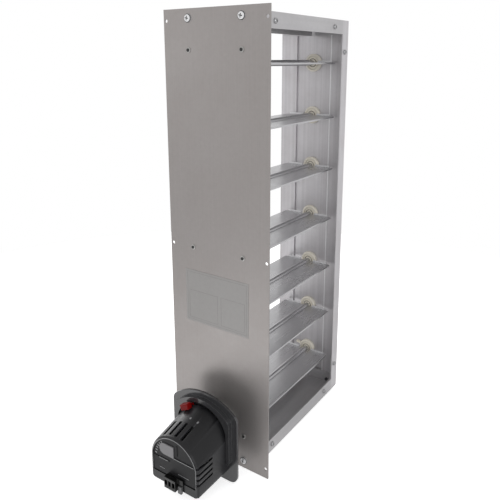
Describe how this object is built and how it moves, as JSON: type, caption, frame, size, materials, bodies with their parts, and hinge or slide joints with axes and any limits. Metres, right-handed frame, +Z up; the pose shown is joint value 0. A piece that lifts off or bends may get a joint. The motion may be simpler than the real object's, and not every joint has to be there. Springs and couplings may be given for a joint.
{
  "type": "motorized duct damper",
  "caption": "Rectangular parallel-blade duct damper with a face plate, pivoting sheet blades joined by a linkage bar, and a geared actuator with a red release lever.",
  "frame": {"origin": "centre of the face plate's corner holes, on the plate's back face", "axes": "+X along the airflow, towards the side with the frame's lips; +Y from the face plate into the duct; +Z up the face plate, away from the actuator"},
  "size_m": [0.16, 0.3585, 0.61],
  "materials": {
    "plate_metal": "brushed",
    "frame_metal": "brushed",
    "blade_metal": "satin",
    "zinc": "zinc plated",
    "dark_steel": "dull",
    "nylon": "matt",
    "label": "satin film",
    "base_plastic": "fine matt",
    "cover_plastic": "fine matt",
    "panel_plastic": "satin",
    "cap_plastic": "satin",
    "terminal_plastic": "satin",
    "latch_plastic": "satin",
    "red_plastic": "satin",
    "white_plastic": "matt",
    "board": "satin",
    "spring_steel": "blued",
    "brass": "machined"
  },
  "bodies": {
    "frame": {"face_plate": "plate_metal", "near_channel": "frame_metal", "far_channel": "frame_metal", "top_rail": "frame_metal", "bottom_rail": "frame_metal", "corner_brackets": "frame_metal", "corner_screws": "zinc", "rail_screws": "zinc", "plate_rivets": "dark_steel", "far_rivets": "dark_steel", "near_bushings": "nylon", "far_bushings": "nylon", "top_stop": "frame_metal", "bottom_stop": "frame_metal", "rating_label": "label", "mounting_plate": "zinc", "mounting_plate_screws": "zinc", "base_screws": "zinc", "actuator_base": "base_plastic", "return_spring": "spring_steel", "gear_plate": "zinc", "gear_plate_screws": "zinc", "idler_axle": "zinc", "actuator_cover": "cover_plastic", "cover_screws": "zinc", "front_panel": "panel_plastic", "front_cap": "cap_plastic", "terminal_block": "terminal_plastic", "connector_latch": "latch_plastic", "circuit_board": "board", "motor": "dark_steel", "motor_screws": "zinc"},
    "lowest_blade": {"blade_1": "blade_metal", "shaft_1": "zinc", "crank_1": "zinc", "output_hub": "nylon", "output_gear": "white_plastic"},
    "blade_set_2": {"blade_2": "blade_metal", "shaft_2": "zinc", "crank_2": "zinc"},
    "blade_set_3": {"blade_3": "blade_metal", "shaft_3": "zinc", "crank_3": "zinc"},
    "blade_set_4": {"blade_4": "blade_metal", "shaft_4": "zinc", "crank_4": "zinc"},
    "blade_set_5": {"blade_5": "blade_metal", "shaft_5": "zinc", "crank_5": "zinc"},
    "blade_set_6": {"blade_6": "blade_metal", "shaft_6": "zinc", "crank_6": "zinc"},
    "blade_set_7": {"blade_7": "blade_metal", "shaft_7": "zinc", "crank_7": "zinc"},
    "linkage": {"linkage_bar": "zinc"},
    "idler": {"idler_gear": "white_plastic"},
    "pinion": {"motor_pinion": "brass"},
    "lever": {"release_lever": "red_plastic"}
  },
  "joints": [
    {"name": "blade_1_hinge", "type": "hinge", "parent": "frame", "child": "lowest_blade", "pos_m": [0, 0, -0.2459], "axis": [0, 1, 0], "range_deg": [0, 87]},
    {"name": "blade_2_hinge", "type": "hinge", "parent": "frame", "child": "blade_set_2", "pos_m": [0, 0, -0.165], "axis": [0, 1, 0], "range_deg": [0, 87]},
    {"name": "blade_3_hinge", "type": "hinge", "parent": "frame", "child": "blade_set_3", "pos_m": [0, 0, -0.0841], "axis": [0, 1, 0], "range_deg": [0, 87]},
    {"name": "blade_4_hinge", "type": "hinge", "parent": "frame", "child": "blade_set_4", "pos_m": [0, 0, -0.0032], "axis": [0, 1, 0], "range_deg": [0, 87]},
    {"name": "blade_5_hinge", "type": "hinge", "parent": "frame", "child": "blade_set_5", "pos_m": [0, 0, 0.0777], "axis": [0, 1, 0], "range_deg": [0, 87]},
    {"name": "blade_6_hinge", "type": "hinge", "parent": "frame", "child": "blade_set_6", "pos_m": [0, 0, 0.1586], "axis": [0, 1, 0], "range_deg": [0, 87]},
    {"name": "blade_7_hinge", "type": "hinge", "parent": "frame", "child": "blade_set_7", "pos_m": [0, 0, 0.2395], "axis": [0, 1, 0], "range_deg": [0, 87]},
    {"name": "linkage_pin", "type": "hinge", "parent": "lowest_blade", "child": "linkage", "pos_m": [-0.01596, 0, -0.26104], "axis": [0, 1, 0], "range_deg": [-87, 0]},
    {"name": "idler_spin", "type": "hinge", "parent": "frame", "child": "idler", "pos_m": [-0.01724, 0, -0.26796], "axis": [0, 1, 0], "range_deg": [-320, 0]},
    {"name": "pinion_spin", "type": "hinge", "parent": "frame", "child": "pinion", "pos_m": [-0.00429, 0, -0.26049], "axis": [0, 1, 0], "range_deg": [0, 1150]},
    {"name": "release_lever_swing", "type": "hinge", "parent": "frame", "child": "lever", "pos_m": [0, 0, -0.2459], "axis": [0, 1, 0], "range_deg": [0, 52]}
  ],
  "couplings": [
    {"joint": "blade_2_hinge", "follows": "blade_1_hinge", "ratio": 1},
    {"joint": "blade_3_hinge", "follows": "blade_1_hinge", "ratio": 1},
    {"joint": "blade_4_hinge", "follows": "blade_1_hinge", "ratio": 1},
    {"joint": "blade_5_hinge", "follows": "blade_1_hinge", "ratio": 1},
    {"joint": "blade_6_hinge", "follows": "blade_1_hinge", "ratio": 1},
    {"joint": "blade_7_hinge", "follows": "blade_1_hinge", "ratio": 1},
    {"joint": "linkage_pin", "follows": "blade_1_hinge", "ratio": -1},
    {"joint": "idler_spin", "follows": "blade_1_hinge", "ratio": -3.6667},
    {"joint": "pinion_spin", "follows": "blade_1_hinge", "ratio": 13.2}
  ]
}
